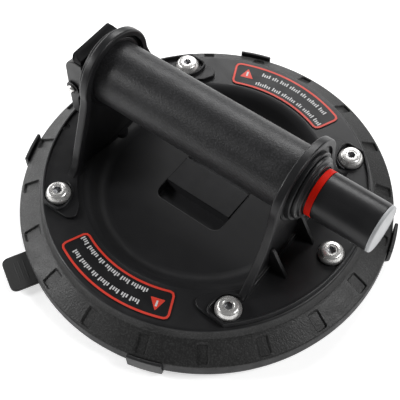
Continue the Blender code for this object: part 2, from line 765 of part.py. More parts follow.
def return_spring():
    heights = (PLUG_X[1] + 2.0, PISTON_X[0] - GAP)
    spring = helix("return_spring", 11.2, 0.7, *heights, 8, along_x(), 4, 10)
    finish_node(spring, "stainless")


# ---------------------------------------------------------------------------------------------
# Release lever and valve
# ---------------------------------------------------------------------------------------------

def release_lever():
    """Channel lever: two cheeks beside the bracket's ears, a back wall and a bar that pulls the valve."""
    low, high = CHEEK_Y
    shoulder = (-72.4, 76.4)
    cheek = [(-68.2, 66.0), (-72.6, 59.0), (-75.0, 55.0), (-75.6, 41.5), (-81.4, 41.5), (-81.2, 60.0)]
    cheek += [(-80.7, 70.0)] + arc(shoulder, 8.0, 180, 90, 7) + [(-68.2, 84.4)]
    body = prism("release_lever", cheek, low, high, "Y")
    join(body, prism("cheek", cheek, -high, -low, "Y"))
    back = arc(shoulder, 7.9, 90, 180, 7) + [(-80.5, 70.0), (-78.2, 70.0)]
    back += arc(shoulder, 5.6, 180, 90, 6) + [(-68.3, 82.0), (-68.3, 84.3)]
    join(body, prism("back", back, -high + 0.2, high - 0.2, "Y"))
    bar = [(-80.0, 41.8), (-78.0, 41.8), (-78.0, 50.5), (-80.0, 50.5)]
    join(body, prism("bar", bar, -high + 0.2, high - 0.2, "Y"))
    cut(body, rod("pin_hole", 2.3, (-30.0, 30.0), 16, along_y(PIVOT_X, PIVOT_Z)))
    cut(body, rod("stem_hole", 2.1, (-90.0, -70.0), 16, along_x(z=VALVE_Z)))
    finish_node(body, "satin_black", origin=(PIVOT_X, 0, PIVOT_Z))


def lever_thumb_pad():
    """Soft pad on the lever's top, dished towards the handle and narrowing upwards."""
    low, high = THUMB_Z
    section = [
        (-68.2, low), (-73.8, low), (-74.4, high - 1.6), (-73.6, high),
        (-72.2, high - 0.2), (-70.4, high - 2.4), (-68.2, high - 3.2),
    ]
    body = prism("lever_thumb_pad", section, -1.0, 1.0, "Y")
    base, top = THUMB_HALF_Y
    for vertex in body.data.vertices:
        vertex.co.y *= base + (top - base) * (vertex.co.z / MM - low) / (high - low)
    finish_node(body, "rubber", smooth=False, origin=(PIVOT_X, 0, PIVOT_Z))


def lever_pin_set():
    frame = along_y(PIVOT_X, PIVOT_Z)
    profile = [
        (0, -18.4), (1.6, -18.2), (2.5, -17.3), (2.5, -16.7), (2.0, -16.7), (2.0, 17.4), (0, 17.4),
    ]
    finish_node(turned("lever_pin", profile, 16, frame), "stainless")
    finish_node(pipe("lever_washer", (2.3, 4.1), (-16.4, -15.5), 20, frame), "rubber")
    finish_node(pipe("lever_pin_clip", (2.3, 3.8), (15.5, 16.4), 20, frame), "steel")


def valve_set():
    frame = along_x(z=VALVE_Z)
    seat = CHAMBER_X
    stem = [
        (0, -82.4), (2.6, -82.4), (3.2, -81.9), (3.2, -80.3), (1.4, -80.3), (1.4, seat - 2.8),
        (3.3, seat - 2.8), (3.3, seat - 2.0), (0, seat - 2.0),
    ]
    origin = (seat, 0, VALVE_Z)
    finish_node(turned("valve_stem", stem, 16, frame), "steel", origin=origin)
    seal = rod("valve_seal", 3.4, (seat - 1.7, seat - GAP), 16, frame)
    finish_node(seal, "rubber", origin=origin)
    gland = pipe("valve_gland", (1.7, CHAMBER_R - GAP), (POST_X, POST_X + 1.9), 20, frame)
    finish_node(gland, "nylon")
    spring = helix("valve_spring", 2.6, 0.35, POST_X + 2.2, seat - 3.1, 3.5, frame, 4, 8)
    finish_node(spring, "stainless")


# ---------------------------------------------------------------------------------------------
# Labels
# ---------------------------------------------------------------------------------------------

def warning_labels():
    low = LAND_Z + GAP
    for name, middle in (("warning_label_near", -90.0), ("warning_label_far", 90.0)):
        outline = sector(LABEL_R, middle - LABEL_HALF_ANGLE, middle + LABEL_HALF_ANGLE, 12)
        finish_node(prism(name, outline, low, low + LABEL_THICK), "label", smooth=False)


def main():
    clear_scene()
    base_housing()
    backing_plate()
    rubber_pad()
    pad_filter()
    protective_cover()
    housing_bolts()
    plate_standoffs()
    front_bracket()
    rear_bracket()
    grip_tube()
    pump_barrel()
    plunger_guide()
    rear_plug()
    plug_seal()
    check_valves()
    plunger_tube()
    indicator_ring()
    plunger_end_cap()
    piston()
    piston_seal()
    return_spring()
    release_lever()
    lever_thumb_pad()
    lever_pin_set()
    valve_set()
    warning_labels()


main()
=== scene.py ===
"""Looks of the hand-pump vacuum suction cup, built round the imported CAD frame.

Lengths in the constants and shape helpers are millimetres in the part's own frame: the origin is on the
disc's axis at the underside of the cover, +Z is up and +X runs along the handle towards the pump plunger.
"""

import json
import math

import bmesh
import bpy
from mathutils import Matrix, Vector

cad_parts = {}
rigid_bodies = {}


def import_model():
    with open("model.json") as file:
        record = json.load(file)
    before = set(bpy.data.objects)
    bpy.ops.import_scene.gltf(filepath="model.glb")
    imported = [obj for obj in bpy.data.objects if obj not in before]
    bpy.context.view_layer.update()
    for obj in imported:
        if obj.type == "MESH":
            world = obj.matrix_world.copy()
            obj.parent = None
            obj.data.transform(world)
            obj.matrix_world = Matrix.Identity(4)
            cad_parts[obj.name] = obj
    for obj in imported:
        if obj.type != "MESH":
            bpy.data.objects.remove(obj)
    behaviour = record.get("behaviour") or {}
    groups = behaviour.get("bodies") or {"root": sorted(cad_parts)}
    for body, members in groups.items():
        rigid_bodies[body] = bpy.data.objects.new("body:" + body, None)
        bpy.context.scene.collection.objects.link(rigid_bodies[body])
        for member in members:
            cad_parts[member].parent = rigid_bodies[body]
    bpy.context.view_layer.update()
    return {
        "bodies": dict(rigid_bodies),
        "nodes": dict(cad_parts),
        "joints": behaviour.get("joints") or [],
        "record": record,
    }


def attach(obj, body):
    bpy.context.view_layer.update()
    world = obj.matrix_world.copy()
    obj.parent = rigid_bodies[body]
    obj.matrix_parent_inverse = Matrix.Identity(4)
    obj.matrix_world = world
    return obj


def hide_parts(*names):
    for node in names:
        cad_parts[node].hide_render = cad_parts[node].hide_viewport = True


MM = 0.001

# Housing and the raised details on it
DISC_STEPS = 240
LAND_Z = 25.0
BOWL_FLOOR_Z = 17.5
BOWL_R = 56.0
SLOT_COUNT = 20
SLOT_R = (94.2, 103.0)
SLOT_WIDTH = 6.0
SLOT_DEPTH = 1.4
BAND_LINE = ((92.7, 19.0), (104.5, 12.5))  # radius and height of the band's two edges
BAR_X = (-20.5, 22.5)
BAR_HALF_Y = 9.5
BAR_TOP_Z = 18.3
POCKET_REACH_Y = 20.5
POCKET_FLOOR_Z = 11.4
AIRWAY_X = -62.5

# Rubber pad and cover
TAB_ANGLE = -118.5
TAB_REACH_R = 119.2
TAB_WIDTH = 21.5
TAB_LINES_R = (107.5, 110.0, 112.5)
CLIP_ANGLES = (20.0, 110.0, 200.0, 290.0)
CLIP_HALF_ANGLE = 5.0
CLIP_R = (105.5, 107.4)
CLIP_TOP_Z = 14.4

# Bolts
BOLT_CIRCLE_R = 80.8
BOLT_ANGLES = (0.0, 45.0, 135.0, 180.0, 225.0, 315.0)
BOLT_HEAD_R = 7.0
BOLT_SHANK_R = 3.0
BOLT_HEAD_Z = (27.6, 32.2)

# Handle brackets
AXIS_Z = 73.7  # height of the handle's axis
FRONT_X = (56.5, 61.0)  # inner and outer face of the front arch, and of the rear one
REAR_X = (-57.5, -62.5)
ARCH_HEADS = {1: (26.0, 22.7), -1: (24.7, 24.7)}  # half width at the axis and height over it, front and rear
ARCH_EDGE = {1: 0.9, -1: 1.2}
ARCH_RIM = 3.6
RECESS_BOTTOM_Z = 31.5
RECESS_DEPTHS = {1: (1.0, 1.4), -1: (2.5, 0.6)}  # inner and outer face, front and rear
FOOT_R = 89.3
FOOT_INNER_R = 70.5
FOOT_Y = 65.6
FOOT_Z = (25.3, 27.3)
LIP_THICK = 1.2
LIP_TOP_Z = 29.5
RIB_Y = (-25.0, 0.0, 25.0)
RIB_TOP_Z = 46.0
RIB_REACH = 9.5

# Side of each arch as (y, z): the ends and handles of a curve, then points down to the foot
FRONT_SIDE = (((-26.0, AXIS_Z), (-49.5, FOOT_Z[1])), ((-27.5, 60.0), (-36.0, 40.0)), [])
REAR_FLARE = [(-40.3, 32.4), (-42.0, 29.7), (-44.6, FOOT_Z[1])]
REAR_SIDE = (((-24.7, AXIS_Z), (-39.1, 35.0)), ((-26.4, 65.0), (-36.6, 43.5)), REAR_FLARE)

# Handle tube, pump and release lever
GRIP_R = (15.7, 17.5)
GRIP_X = (-60.2, 57.2)
PLUNGER_R = 12.5
PIVOT = (-77.0, 63.0)
CHEEK_Y = (12.9, 15.2)
THUMB_Z = (84.8, 91.0)
THUMB_HALF_Y = (14.8, 11.3)  # at its base and its top
EAR_Y = (8.0, 12.5)
VALVE_Z = 46.0
POST_X = -75.5
PORT_RISE = 9.5  # of the pump's two air ports from the handle's axis

# Labels
LABEL_R = (70.5, 87.3)
LABEL_HALF_ANGLE = 25.0
LABEL_Z = (25.3, 25.65)
TICK_PITCH = 1.4
TICK_WIDTH = 0.8
LABEL_ROWS = (  # radius, angle of the first tick from the label's middle, and lengths of the words
    (82.0, 13.0, (5.6, 4.2, 5.6, 7.0, 4.2, 8.4, 5.6)),
    (74.6, 14.0, (9.8, 5.6, 9.8, 4.2, 8.4, 5.6)),
)

# Camera, in degrees and millimetres
VIEW_AZIMUTH = 38.65
VIEW_ELEVATION = 57.19
VIEW_ROLL = -1.56
VIEW_DISTANCE = 484.77
VIEW_TARGET = (-4.45, -0.26, 0.0)
VIEW_LENS = 75.48

FLOOR_HALF = 1600.0
FLOOR_Z = -0.15


# ---------------------------------------------------------------------------------------------
# Outlines
# ---------------------------------------------------------------------------------------------

def polar(radius, degrees, centre=(0.0, 0.0)):
    angle = math.radians(degrees)
    return centre[0] + radius * math.cos(angle), centre[1] + radius * math.sin(angle)


def arc(centre, radius, start, end, steps):
    """Points of an arc from start to end degrees, both ends included."""
    return [polar(radius, start + (end - start) * i / steps, centre) for i in range(steps + 1)]


def rounded(corners, steps=4):
    """Outline whose corners (a, b, reach) are rounded off over that reach along both sides."""
    points = []
    count = len(corners)
    for i, (a, b, reach) in enumerate(corners):
        here = Vector((a, b))
        if not reach:
            points.append((a, b))
            continue
        before = Vector(corners[i - 1][:2]) - here
        after = Vector(corners[(i + 1) % count][:2]) - here
        start = here + before.normalized() * min(reach, 0.48 * before.length)
        end = here + after.normalized() * min(reach, 0.48 * after.length)
        for k in range(steps + 1):
            t = k / steps
            points.append(tuple(start * (1 - t) ** 2 + here * 2 * t * (1 - t) + end * t * t))
    return points


def rounded_box(x, y, reach, steps=5):
    corners = ((x[0], y[0]), (x[1], y[0]), (x[1], y[1]), (x[0], y[1]))
    return rounded([(*corner, reach) for corner in corners], steps)


def turn_outline(outline, degrees):
    c, s = polar(1.0, degrees)
    return [(a * c - b * s, a * s + b * c) for a, b in outline]


def area(outline):
    return sum(p[0] * q[1] - q[0] * p[1] for p, q in zip(outline, outline[1:] + outline[:1])) / 2


def inset(outline, distance):
    """Move an outline's points inwards, whichever way round it runs."""
    way = 1 if area(outline) > 0 else -1
    moved = []
    count = len(outline)
    for i, point in enumerate(outline):
        here = Vector(point)
        first = (here - Vector(outline[i - 1])).normalized()
        second = (Vector(outline[(i + 1) % count]) - here).normalized()
        normal = Vector((-(first.y + second.y), first.x + second.x)).normalized() * way
        reach = distance / max(0.5, Vector((-first.y, first.x)).dot(normal) * way)
        moved.append(tuple(here + normal * reach))
    return moved


def strip(path, width):
    """Outline of a strip of this width along the left of an open path."""
    moved = []
    for i, point in enumerate(path):
        before = Vector(path[max(i - 1, 0)])
        after = Vector(path[min(i + 1, len(path) - 1)])
        along = (after - before).normalized()
        moved.append((point[0] - along.y * width, point[1] + along.x * width))
    return list(path) + moved[::-1]


# ---------------------------------------------------------------------------------------------
# Solids
# ---------------------------------------------------------------------------------------------

def solid(name, points, faces):
    mesh = bpy.data.meshes.new(name)
    mesh.from_pydata([Vector(p) * MM for p in points], [], faces)
    shape = bmesh.new()
    shape.from_mesh(mesh)
    bmesh.ops.recalc_face_normals(shape, faces=shape.faces)
    shape.to_mesh(mesh)
    shape.free()
    obj = bpy.data.objects.new(name, mesh)
    bpy.context.scene.collection.objects.link(obj)
    return obj


def turned(name, profile, frame=Matrix(), steps=96):
    """Turn a closed outline of (radius, height) points round the frame's height."""
    points, rings = [], []
    for radius, height in profile:
        count = 1 if radius == 0 else steps
        rings.append([len(points) + i for i in range(count)])
        for i in range(count):
            x, y = polar(radius, 360.0 * i / steps)
            points.append(frame @ Vector((x, y, height)))
    faces = []
    for one, two in zip(rings, rings[1:] + rings[:1]):
        if len(one) == 1 and len(two) == 1:
            continue
        for i in range(steps):
            j = (i + 1) % steps
            corners = [one[i % len(one)], one[j % len(one)], two[j % len(two)], two[i % len(two)]]
            faces.append(list(dict.fromkeys(corners)))
    return solid(name, points, faces)


def along_x(z=AXIS_Z):
    """Frame whose height runs along +X through the handle's axis, or at another height."""
    return Matrix.Translation((0, 0, z)) @ Matrix.Rotation(math.pi / 2, 4, "Y")


def along_y(x, z):
    return Matrix.Translation((x, 0, z)) @ Matrix.Rotation(-math.pi / 2, 4, "X")


def upright(x, y):
    return Matrix.Translation((x, y, 0))


def rod(name, radius, heights, frame=Matrix(), steps=64):
    low, high = heights
    return turned(name, [(0, low), (radius, low), (radius, high), (0, high)], frame, steps)


def loft(name, rings, axis="Z"):
    """Skin over outlines at successive heights: (x, y) for Z, (y, z) for X and (x, z) for Y."""
    place = {
        "X": lambda a, b, height: (height, a, b),
        "Y": lambda a, b, height: (a, height, b),
        "Z": lambda a, b, height: (a, b, height),
    }[axis]
    count = len(rings[0][0])
    points = [place(a, b, height) for outline, height in rings for a, b in outline]
    last = (len(rings) - 1) * count
    faces = [list(range(count)), [last + i for i in reversed(range(count))]]
    for level in range(len(rings) - 1):
        base = level * count
        for i in range(count):
            j = (i + 1) % count
            faces.append([base + i, base + count + i, base + count + j, base + j])
    return solid(name, points, faces)


def swept(name, profile, start, end, edge):
    """Outline of (radius, height) points swept round Z between two angles, its end faces eased by edge."""
    trim = math.degrees(edge / profile[0][0])
    stations = [(inset(profile, edge), start)]
    stations += [(profile, start + trim + (end - start - 2 * trim) * i / 12) for i in range(13)]
    stations.append((inset(profile, edge), end))
    points = [(*polar(radius, turn), height) for outline, turn in stations for radius, height in outline]
    count = len(profile)
    last = (len(stations) - 1) * count
    faces = [list(range(count)), [last + k for k in reversed(range(count))]]
    for base in range(0, last, count):
        for k in range(count):
            m = (k + 1) % count
            faces.append([base + k, base + count + k, base + count + m, base + m])
    return solid(name, points, faces)


def slab(name, outline, low, high, axis="Z", edge=0.5, ends=(True, True)):
    """Extruded outline whose rims are rounded over by edge."""
    fold = ((1.0, 0.0), (0.45, 0.12), (0.12, 0.45), (0.0, 1.0))
    rings = []
    if ends[0]:
        rings += [(inset(outline, edge * a), low + edge * b) for a, b in fold]
    else:
        rings.append((outline, low))
    if ends[1]:
        rings += [(inset(outline, edge * a), high - edge * b) for a, b in reversed(fold)]
    else:
        rings.append((outline, high))
    return loft(name, rings, axis)


def cutter(outline, floor, mouth, clear, axis="Z", edge=0.5):
    """Tool for a recess with a rounded floor edge and a flared mouth; it passes the mouth by clear."""
    way = 1 if mouth > floor else -1
    rings = [
        (inset(outline, edge), floor),
        (inset(outline, edge * 0.3), floor + way * edge * 0.3),
        (outline, floor + way * edge),
        (outline, mouth - way * edge),
        (inset(outline, -edge * 0.3), mouth - way * edge * 0.3),
        (inset(outline, -edge), mouth),
        (inset(outline, -edge), mouth + way * clear),
    ]
    return loft("cutter", rings, axis)


def gather(objects):
    """One object from several that don't touch."""
    shape = bmesh.new()
    for obj in objects:
        shape.from_mesh(obj.data)
    mesh = bpy.data.meshes.new("gathered")
    shape.to_mesh(mesh)
    shape.free()
    for obj in objects:
        bpy.data.objects.remove(obj, do_unlink=True)
    made = bpy.data.objects.new("gathered", mesh)
    bpy.context.scene.collection.objects.link(made)
    return made


def evaluated(obj):
    """Apply an object's modifiers."""
    graph = bpy.context.evaluated_depsgraph_get()
    graph.update()
    mesh = bpy.data.meshes.new_from_object(obj.evaluated_get(graph))
    obj.modifiers.clear()
    obj.data = mesh
    mesh.name = obj.name
    return obj


def closed_volume(mesh):
    """Volume in cubic metres, or 0 for a mesh with a hole in its skin."""
    shape = bmesh.new()
    shape.from_mesh(mesh)
    closed = all(len(edge.link_faces) == 2 for edge in shape.edges)
    volume = abs(shape.calc_volume()) if closed else 0.0
    shape.free()
    return volume


def combine(target, tools, operation):
    """Join or cut target with each tool, and take the tools away."""
    for tool in tools:
        before = target.data
        least = closed_volume(before) * (0.95 if operation == "UNION" else 0.4)
        for solver in ("EXACT", "MANIFOLD"):  # the second only where the first loses part of the shape
            target.data = before
            modifier = target.modifiers.new("join", "BOOLEAN")
            modifier.operation = operation
            modifier.object = tool
            modifier.solver = solver
            evaluated(target)
            if closed_volume(target.data) > least:
                break
            print("part lost:", target.name, tool.name, solver)
        bpy.data.objects.remove(tool, do_unlink=True)
    return target


def join(target, *tools):
    return combine(target, tools, "UNION")


def cut(target, *tools):
    return combine(target, tools, "DIFFERENCE")


# ---------------------------------------------------------------------------------------------
# Materials
# ---------------------------------------------------------------------------------------------

class Nodes:
    """A material under construction, with its shader and object-space coordinates."""

    def __init__(self, name, metallic=0.0):
        self.material = bpy.data.materials.new(name)
        self.material.use_nodes = True
        self.tree = self.material.node_tree
        self.shader = self.tree.nodes["Principled BSDF"]
        self.shader.inputs["Metallic"].default_value = metallic
        self.place = self.new("ShaderNodeTexCoord").outputs["Object"]

    def new(self, kind, **settings):
        node = self.tree.nodes.new(kind)
        for key, value in settings.items():
            setattr(node, key, value)
        return node

    def link(self, source, target):
        self.tree.links.new(source, target)

    def noise(self, size_mm, detail=2.0, stretch=None):
        """Noise whose grains are about this large; stretch scales the axes of its space."""
        place = self.place
        if stretch:
            mapping = self.new("ShaderNodeMapping")
            mapping.inputs["Scale"].default_value = stretch
            self.link(place, mapping.inputs["Vector"])
            place = mapping.outputs["Vector"]
        node = self.new("ShaderNodeTexNoise")
        node.inputs["Scale"].default_value = 1.0 / (size_mm * MM)
        node.inputs["Detail"].default_value = detail
        self.link(place, node.inputs["Vector"])
        return node.outputs["Fac"]

    def spread(self, source, low, high, start=0.3, end=0.7):
        node = self.new("ShaderNodeMapRange")
        for key, value in (("From Min", start), ("From Max", end), ("To Min", low), ("To Max", high)):
            node.inputs[key].default_value = value
        self.link(source, node.inputs["Value"])
        return node.outputs["Result"]

    def multiply(self, one, two):
        node = self.new("ShaderNodeMath", operation="MULTIPLY")
        self.link(one, node.inputs[0])
        self.link(two, node.inputs[1])
        return node.outputs["Value"]

    def mix(self, factor, one, two):
        """Blend from one to two, each a colour or an output."""
        node = self.new("ShaderNodeMix", data_type="RGBA")
        self.link(factor, node.inputs["Factor"])
        for key, value in ((6, one), (7, two)):
            if isinstance(value, tuple):
                node.inputs[key].default_value = (*value, 1.0)
            else:
                self.link(value, node.inputs[key])
        return node.outputs[2]

    def bump(self, height, distance_mm):
        node = self.new("ShaderNodeBump")
        node.inputs["Distance"].default_value = distance_mm * MM
        node.inputs["Strength"].default_value = 1.0
        self.link(height, node.inputs["Height"])
        self.link(node.outputs["Normal"], self.shader.inputs["Normal"])

    def edges(self, reach_mm=0.5):
        """1 on edges, 0 elsewhere, from how far a rounded normal turns away from the true one."""
        bevel = self.new("ShaderNodeBevel", samples=4)
        bevel.inputs["Radius"].default_value = reach_mm * MM
        turn = self.new("ShaderNodeVectorMath", operation="DOT_PRODUCT")
        self.link(bevel.outputs["Normal"], turn.inputs[0])
        self.link(self.new("ShaderNodeNewGeometry").outputs["Normal"], turn.inputs[1])
        return self.spread(turn.outputs["Value"], 1.0, 0.0, 0.75, 0.98)


def scaled(colour, factor):
    return tuple(min(1.0, channel * factor) for channel in colour)


def moulded(name, colour, roughness, grain_mm, depth_mm, speckle, drift, edge_highlight, specular=0.5):
    """Moulded plastic or rubber: fine grain, slow colour drift, uneven gloss and edges lightened as a painted
    highlight.
    """
    made = Nodes(name)
    grain = made.noise(grain_mm, 3.0)
    slow = made.noise(28.0, 3.0)
    smear = made.noise(9.0, 4.0, (1.0, 1.6, 1.0))
    drifted = made.mix(made.spread(slow, 0.0, 1.0), scaled(colour, 1 - drift), scaled(colour, 1 + drift))
    speckled = made.mix(made.spread(grain, 0.0, speckle, 0.45, 0.75), drifted, scaled(colour, 3.0))
    # painted highlight: edges lightened towards 2.6 times the colour, patchy along the smear noise
    edge_light = made.spread(made.multiply(made.edges(), smear), 0.0, edge_highlight, 0.2, 0.9)
    edge_lit = made.mix(edge_light, speckled, scaled(colour, 2.6))
    made.link(edge_lit, made.shader.inputs["Base Color"])
    made.link(made.spread(smear, roughness - 0.06, roughness + 0.06), made.shader.inputs["Roughness"])
    made.shader.inputs["Specular IOR Level"].default_value = specular
    made.bump(grain, depth_mm)
    return made.material


def metal(name, colour, roughness, brush, size_mm, depth_mm, metallic=1.0):
    """Metal with fine brushing, uneven roughness and edges brightened as a painted highlight; brush stretches
    its grain.
    """
    made = Nodes(name, metallic)
    fine = made.noise(size_mm, 3.0, brush)
    slow = made.noise(5.0, 3.0)
    tone = made.mix(made.spread(slow, 0.0, 1.0), scaled(colour, 0.9), scaled(colour, 1.06))
    # painted highlight: edges brightened towards 1.2 times the colour
    edge_highlighted = made.mix(made.spread(made.edges(), 0.0, 0.6), tone, scaled(colour, 1.2))
    made.link(edge_highlighted, made.shader.inputs["Base Color"])
    made.link(made.spread(fine, roughness - 0.05, roughness + 0.08), made.shader.inputs["Roughness"])
    made.bump(fine, depth_mm)
    return made.material


def make_materials():
    return {
        "band": moulded("band_texture", (0.018, 0.018, 0.018), 0.44, 0.9, 0.18, 0.85, 0.15, 0.6, 0.42),
        "land": moulded("land_plastic", (0.016, 0.016, 0.017), 0.36, 0.35, 0.012, 0.05, 0.12, 0.6, 0.34),
        # the bowl's plastic is darker than the land's: painted shade where the handle shades the bowl
        "bowl": moulded("bowl_plastic_painted_shade", (0.013, 0.013, 0.014), 0.50, 0.35, 0.012, 0.05, 0.15, 0.5, 0.22),
        "pocket": moulded("pocket_plastic", (0.030, 0.030, 0.032), 0.60, 0.5, 0.02, 0.1, 0.1, 0.3, 0.25),
        # this darker plastic also goes on the housing's lower outer wall as painted shade
        "bar": moulded("bar_texture_and_wall_shade", (0.009, 0.009, 0.010), 0.50, 0.5, 0.03, 0.12, 0.08, 0.5, 0.22),
        "bracket": moulded("bracket_plastic", (0.014, 0.014, 0.015), 0.36, 0.4, 0.012, 0.06, 0.12, 0.8, 0.34),
        "grip": moulded("grip_texture", (0.015, 0.015, 0.016), 0.44, 0.9, 0.13, 0.75, 0.12, 0.5, 0.40),
        "plunger": moulded("plunger_plastic", (0.012, 0.012, 0.013), 0.34, 0.4, 0.006, 0.04, 0.08, 0.5, 0.36),
        "end_disc": moulded("end_disc", (0.40, 0.41, 0.42), 0.36, 0.4, 0.006, 0.03, 0.05, 0.3),
        "ring": moulded("ring_red", (0.66, 0.012, 0.004), 0.55, 0.4, 0.006, 0.01, 0.05, 0.1, 0.08),
        "cover": moulded("cover_plastic", (0.012, 0.012, 0.013), 0.45, 0.5, 0.01, 0.05, 0.1, 0.8),
        "pad": moulded("pad_rubber", (0.014, 0.014, 0.014), 0.62, 0.5, 0.03, 0.12, 0.12, 0.4),
        "seal": moulded("seal_rubber", (0.010, 0.010, 0.010), 0.5, 0.4, 0.01, 0.05, 0.1, 0.3),
        "thumb": moulded("thumb_rubber", (0.009, 0.009, 0.010), 0.60, 0.5, 0.03, 0.10, 0.1, 0.5, 0.15),
        "nylon": moulded("nylon", (0.22, 0.22, 0.21), 0.5, 0.4, 0.01, 0.04, 0.06, 0.2),
        "foam": moulded("filter_foam", (0.10, 0.10, 0.10), 0.9, 0.7, 0.3, 0.3, 0.1, 0.0),
        "label": moulded("label_black", (0.008, 0.008, 0.009), 0.40, 0.3, 0.004, 0.03, 0.05, 0.0, 0.3),
        "print_red": moulded("print_red", (0.70, 0.045, 0.024), 0.42, 0.3, 0.004, 0.02, 0.04, 0.0),
        "print_pale": moulded("print_pale", (0.62, 0.62, 0.62), 0.45, 0.3, 0.004, 0.02, 0.05, 0.0),
        "stainless": metal("stainless", (0.82, 0.81, 0.79), 0.27, (1.0, 1.0, 0.2), 0.9, 0.0002, 0.75),
        "steel": metal("plated_steel", (0.42, 0.42, 0.43), 0.36, (1.0, 1.0, 1.0), 0.6, 0.006),
        "aluminium": metal("drawn_aluminium", (0.60, 0.60, 0.62), 0.32, (0.05, 1.0, 1.0), 0.4, 0.004),
    }


# ---------------------------------------------------------------------------------------------
# Finishing a piece
# ---------------------------------------------------------------------------------------------

def finish(obj, look, body, nodes, paint=None, angle=35.0):
    """Smooth a piece, give it its materials and body, and hide the CAD nodes it stands for.

    look is one material name, or several with paint(centre) giving the index of each face's material."""
    names = look if isinstance(look, tuple) else (look,)
    obj.data.materials.clear()
    for name in names:
        obj.data.materials.append(LOOKS[name])
    level = set()
    for face in obj.data.polygons:
        face.material_index = paint(face.center / MM) if paint else 0
        if abs(face.normal.z) > 0.9999:
            level.update(face.edge_keys)
    obj.data.shade_smooth()
    obj.data.set_sharp_from_angle(angle=math.radians(angle))
    for edge in obj.data.edges:  # level faces keep their own normals, so their shading has no creases
        if edge.key in level:
            edge.use_edge_sharp = True
    weighted = obj.modifiers.new("weighted", "WEIGHTED_NORMAL")
    weighted.keep_sharp = True
    evaluated(obj)
    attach(obj, body)
    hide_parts(*nodes)
    return obj


# ---------------------------------------------------------------------------------------------
# Housing, pad and cover
# ---------------------------------------------------------------------------------------------

def band_height(radius):
    (r0, z0), (r1, z1) = BAND_LINE
    return z0 + (z1 - z0) * (radius - r0) / (r1 - r0)


def slot_cutter(turn):
    """Shallow slot whose floor runs parallel to the sloping band, with a flared mouth."""
    half = SLOT_WIDTH / 2
    base = rounded_box(SLOT_R, (-half, half), 0.9, 3)
    levels = ((0.4, -SLOT_DEPTH), (0.0, 0.4 - SLOT_DEPTH), (0.0, -0.4), (-0.4, 0.05))
    points = []
    for grow, above in levels:
        for x, y in inset(base, grow):
            points.append((*turn_outline([(x, y)], turn)[0], band_height(x) + above))
    for x, y in inset(base, -0.4):
        points.append((*turn_outline([(x, y)], turn)[0], LAND_Z + 2.0))
    count = len(base)
    rings = len(levels)
    faces = [list(range(count)), [rings * count + i for i in reversed(range(count))]]
    for level in range(rings):
        for i in range(count):
            j = (i + 1) % count
            low, high = level * count, (level + 1) * count
            faces.append([low + i, high + i, high + j, low + j])
    return solid("slot", points, faces)


def bolt_places():
    return [polar(BOLT_CIRCLE_R, angle) for angle in BOLT_ANGLES]


def housing():
    outside = rounded([
        (0, BOWL_FLOOR_Z, 0), (58.4, BOWL_FLOOR_Z, 4.0), (66.0, LAND_Z, 3.4), (90.4, LAND_Z, 1.3),
        (92.3, 19.4, 0.7), (93.2, 18.8, 0.5), (104.9, 12.5, 1.0), (105.0, 5.2, 0.6),
    ], 5)
    inside = [
        (98.4, 5.2), (98.4, 9.8), (93.0, 9.8), (89.5, 15.8), (87.5, 21.8), (69.0, 21.8), (62.0, 17.6),
        (57.0, 14.4), (0, 14.4),
    ]
    shell = turned("housing_shell", outside + inside, steps=DISC_STEPS)
    for near, far in ((-76.0, -60.6), (57.6, 76.0)):
        join(shell, slab("seat", rounded_box((near, far), (-42.0, 42.0), 0.8), 19.0, LAND_Z - 0.01, edge=0.4))
    block = rounded_box((-23.0, 25.0), (-23.0, 23.0), 7.0)
    join(shell, slab("block", block, 9.8, BOWL_FLOOR_Z - 1.0, ends=(False, False)))
    bosses = [rod("boss", 7.3, (9.8, LAND_Z - 1.5), upright(x, y)) for x, y in bolt_places()]
    join(shell, gather(bosses + [rod("boss", 4.5, (9.8, 22.0), upright(AIRWAY_X, 0))]))
    holes = [rod("hole", BOLT_SHANK_R + 0.4, (0, 40), upright(x, y)) for x, y in bolt_places()]
    sockets = [rod("socket", 5.3, (0, 19.3), upright(x, y)) for x, y in bolt_places()]
    cut(shell, gather(holes + [rod("airway", 1.5, (0, 40), upright(AIRWAY_X, 0))]))
    cut(shell, gather(sockets))
    pockets = []
    for side in (-1, 1):
        reach = 5.5
        outline = [
            (BAR_X[0], side * (BAR_HALF_Y - 1.0), 0), (BAR_X[1], side * (BAR_HALF_Y - 1.0), 0),
            (BAR_X[1], side * POCKET_REACH_Y, reach), (BAR_X[0], side * POCKET_REACH_Y, reach),
        ]
        pockets.append(cutter(rounded(outline, 8), POCKET_FLOOR_Z, BOWL_FLOOR_Z, 5.0, edge=0.6))
    cut(shell, *pockets)
    bar = rounded_box(BAR_X, (-BAR_HALF_Y, BAR_HALF_Y), 0.6, 2)
    join(shell, slab("bar", bar, POCKET_FLOOR_Z - 1.5, BAR_TOP_Z, edge=0.45, ends=(False, True)))
    cut(shell, gather([slot_cutter(360.0 * i / SLOT_COUNT) for i in range(SLOT_COUNT)]))

    looks = ("band", "land", "bowl", "bar", "pocket")

    def paint(centre):
        radius = math.hypot(centre.x, centre.y)
        on_bar = abs(centre.y) < BAR_HALF_Y + 0.1 and BAR_X[0] - 0.1 < centre.x < BAR_X[1] + 0.1
        in_pocket = radius < BOWL_R and POCKET_FLOOR_Z - 0.1 < centre.z < BOWL_FLOOR_Z - 0.05
        if on_bar and centre.z > BOWL_FLOOR_Z:
            look = "bar"
        elif in_pocket:
            look = "pocket"
        elif radius > 90.9:
            # below the band the outer wall takes the darker bar plastic: painted shade
            look = "band" if centre.z > 12.0 else "bar"
        else:
            # the darker bowl plastic inside radius 68 is painted shade under the handle
            look = "land" if radius > 68.0 else "bowl"
        return looks.index(look)

    finish(shell, looks, "base", ["base_housing"], paint)


